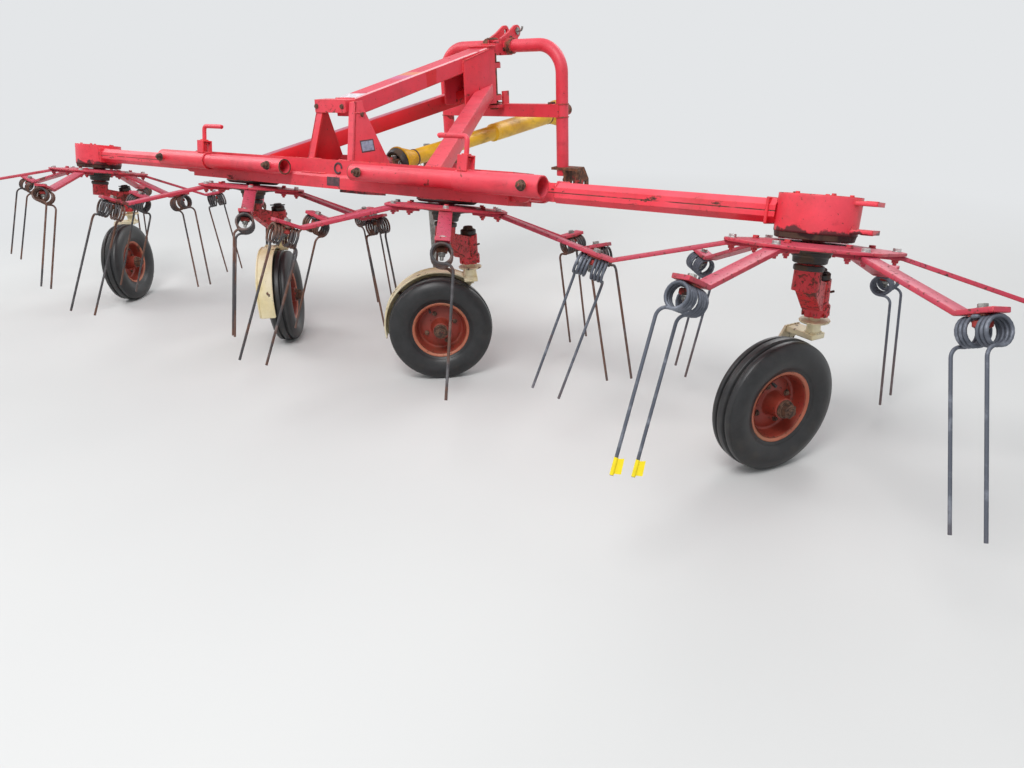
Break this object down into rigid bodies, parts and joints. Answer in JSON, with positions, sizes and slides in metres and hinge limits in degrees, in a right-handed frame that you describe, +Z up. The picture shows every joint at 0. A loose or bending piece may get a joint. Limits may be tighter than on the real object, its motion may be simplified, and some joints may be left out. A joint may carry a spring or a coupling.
{
  "type": "hay tedder",
  "caption": "Mounted rotary hay tedder with folding wings, castor wheels, spring tines and a swivelling headstock",
  "frame": {"origin": "floor point under the middle of the machine's bounding box", "axes": "+X to the machine's right, +Y forward to the tractor, +Z up"},
  "size_m": [5.1676, 2.5415, 1.318],
  "materials": {
    "red_paint": "faded pinkish red paint with chips, dust and rust",
    "gear_case": "dark red paint under dry grease",
    "rim_paint": "dull red paint with rust",
    "tyre": "dusty black rubber",
    "spring_steel": "dark worn spring wire",
    "cream_paint": "chipped cream paint over rust",
    "yellow_plastic": "faded yellow guard",
    "rusty_steel": "brown rust",
    "galvanised": "dull zinc"
  },
  "bodies": {
    "frame": {"centre_beam": "red_paint", "tower": "red_paint", "top_boom": "red_paint", "brace_left": "red_paint", "brace_right": "red_paint", "front_post": "red_paint", "gearbox": "gear_case", "housing_inner_left": "gear_case", "housing_inner_right": "gear_case", "leg_inner_left": "red_paint", "leg_inner_right": "red_paint", "drive_guard": "yellow_plastic"},
    "headstock": {"hoop": "red_paint", "cross_member": "red_paint", "top_link_bracket": "rusty_steel", "swivel_pin": "rusty_steel", "link_bracket_left": "rusty_steel", "link_bracket_right": "rusty_steel"},
    "stand": {"parking_stand": "galvanised"},
    "drive": {"drive_shaft": "rusty_steel"},
    "wing_left": {"wing_arm_left": "red_paint", "housing_outer_left": "red_paint", "leg_outer_left": "red_paint"},
    "strut_tube_left": {"strut_tube_left": "red_paint"},
    "strut_case_left": {"strut_case_left": "red_paint"},
    "wing_right": {"wing_arm_right": "red_paint", "housing_outer_right": "red_paint", "leg_outer_right": "red_paint"},
    "strut_tube_right": {"strut_tube_right": "red_paint"},
    "strut_case_right": {"strut_case_right": "red_paint"},
    "rotor_outer_left": {"rotor_outer_left": "red_paint", "tines_outer_left": "spring_steel"},
    "castor_outer_left": {"castor_outer_left": "cream_paint"},
    "wheel_outer_left": {"rim_outer_left": "rim_paint", "tyre_outer_left": "tyre"},
    "rotor_inner_left": {"rotor_inner_left": "red_paint", "tines_inner_left": "spring_steel"},
    "castor_inner_left": {"castor_inner_left": "cream_paint"},
    "wheel_inner_left": {"rim_inner_left": "rim_paint", "tyre_inner_left": "tyre"},
    "rotor_inner_right": {"rotor_inner_right": "red_paint", "tines_inner_right": "spring_steel"},
    "castor_inner_right": {"castor_inner_right": "cream_paint"},
    "wheel_inner_right": {"rim_inner_right": "rim_paint", "tyre_inner_right": "tyre"},
    "rotor_outer_right": {"rotor_outer_right": "red_paint", "tines_outer_right": "spring_steel"},
    "castor_outer_right": {"castor_outer_right": "cream_paint"},
    "wheel_outer_right": {"rim_outer_right": "rim_paint", "tyre_outer_right": "tyre"}
  },
  "joints": [
    {"name": "fold_left", "type": "hinge", "parent": "frame", "child": "wing_left", "pos_m": [-0.9207, -0.43518, 0.77344], "axis": [0, 0.9816, -0.1908], "range_deg": [-4, 90]},
    {"name": "strut_swing_left", "type": "hinge", "parent": "frame", "child": "strut_tube_left", "pos_m": [-0.2487, -0.55031, 0.81008], "axis": [0, 0.9816, -0.1908], "range_deg": [-2, 6]},
    {"name": "strut_slide_left", "type": "slide", "parent": "strut_tube_left", "child": "strut_case_left", "axis": [-1, 0, 0], "range_m": [-0.09, 0.01]},
    {"name": "fold_right", "type": "hinge", "parent": "frame", "child": "wing_right", "pos_m": [0.9393, -0.43518, 0.77344], "axis": [0, -0.9816, 0.1908], "range_deg": [-4, 90]},
    {"name": "strut_swing_right", "type": "hinge", "parent": "frame", "child": "strut_tube_right", "pos_m": [0.2673, -0.55031, 0.81008], "axis": [0, -0.9816, 0.1908], "range_deg": [-2, 6]},
    {"name": "strut_slide_right", "type": "slide", "parent": "strut_tube_right", "child": "strut_case_right", "axis": [1, 0, 0], "range_m": [-0.09, 0.01]},
    {"name": "rotor_spin_outer_left", "type": "hinge", "parent": "wing_left", "child": "rotor_outer_left", "pos_m": [-1.8482, -0.4514, 0.69], "axis": [0, 0.1908, 0.9816], "continuous": true},
    {"name": "castor_swivel_outer_left", "type": "hinge", "parent": "wing_left", "child": "castor_outer_left", "pos_m": [-1.8482, -0.3364, 0.5], "axis": [0, 0, 1], "continuous": true},
    {"name": "wheel_spin_outer_left", "type": "hinge", "parent": "castor_outer_left", "child": "wheel_outer_left", "pos_m": [-1.7774, -0.44543, 0.205], "axis": [0.8387, 0.5446, 0], "continuous": true},
    {"name": "rotor_spin_inner_left", "type": "hinge", "parent": "frame", "child": "rotor_inner_left", "pos_m": [-0.5482, -0.4514, 0.69], "axis": [0, 0.1908, 0.9816], "continuous": true},
    {"name": "castor_swivel_inner_left", "type": "hinge", "parent": "frame", "child": "castor_inner_left", "pos_m": [-0.5482, -0.3364, 0.5], "axis": [0, 0, 1], "continuous": true},
    {"name": "wheel_spin_inner_left", "type": "hinge", "parent": "castor_inner_left", "child": "wheel_inner_left", "pos_m": [-0.46121, -0.43301, 0.205], "axis": [0.7431, 0.6691, 0], "continuous": true},
    {"name": "rotor_spin_inner_right", "type": "hinge", "parent": "frame", "child": "rotor_inner_right", "pos_m": [0.5668, -0.4514, 0.69], "axis": [0, 0.1908, 0.9816], "continuous": true},
    {"name": "castor_swivel_inner_right", "type": "hinge", "parent": "frame", "child": "castor_inner_right", "pos_m": [0.5668, -0.3364, 0.5], "axis": [0, 0, 1], "continuous": true},
    {"name": "wheel_spin_inner_right", "type": "hinge", "parent": "castor_inner_right", "child": "wheel_inner_right", "pos_m": [0.46869, -0.42169, 0.205], "axis": [0.6561, -0.7547, 0], "continuous": true},
    {"name": "rotor_spin_outer_right", "type": "hinge", "parent": "wing_right", "child": "rotor_outer_right", "pos_m": [1.8668, -0.4514, 0.69], "axis": [0, 0.1908, 0.9816], "continuous": true},
    {"name": "castor_swivel_outer_right", "type": "hinge", "parent": "wing_right", "child": "castor_outer_right", "pos_m": [1.8668, -0.3364, 0.5], "axis": [0, 0, 1], "continuous": true},
    {"name": "wheel_spin_outer_right", "type": "hinge", "parent": "castor_outer_right", "child": "wheel_outer_right", "pos_m": [1.80577, -0.45118, 0.205], "axis": [0.8829, -0.4695, 0], "continuous": true},
    {"name": "headstock_swivel", "type": "hinge", "parent": "frame", "child": "headstock", "pos_m": [0.0093, 0.5986, 1], "axis": [0, 0, 1], "range_deg": [-15, 15]},
    {"name": "stand_slide", "type": "slide", "parent": "headstock", "child": "stand", "axis": [0, 0, 1], "range_m": [0, 0.35]},
    {"name": "drive_spin", "type": "hinge", "parent": "frame", "child": "drive", "pos_m": [0.0093, -0.1214, 0.778], "axis": [0, 0.9966, 0.0828], "continuous": true}
  ],
  "couplings": [
    {"joint": "strut_swing_left", "follows": "fold_left", "ratio": 0.05021},
    {"joint": "strut_slide_left", "follows": "fold_left", "m_per_rad": -0.04962},
    {"joint": "strut_swing_right", "follows": "fold_right", "ratio": 0.05021},
    {"joint": "strut_slide_right", "follows": "fold_right", "m_per_rad": -0.04962},
    {"joint": "rotor_spin_outer_left", "follows": "rotor_spin_inner_left", "ratio": -1},
    {"joint": "rotor_spin_inner_right", "follows": "rotor_spin_inner_left", "ratio": -1},
    {"joint": "rotor_spin_outer_right", "follows": "rotor_spin_inner_left", "ratio": 1},
    {"joint": "drive_spin", "follows": "rotor_spin_inner_left", "ratio": 3}
  ]
}
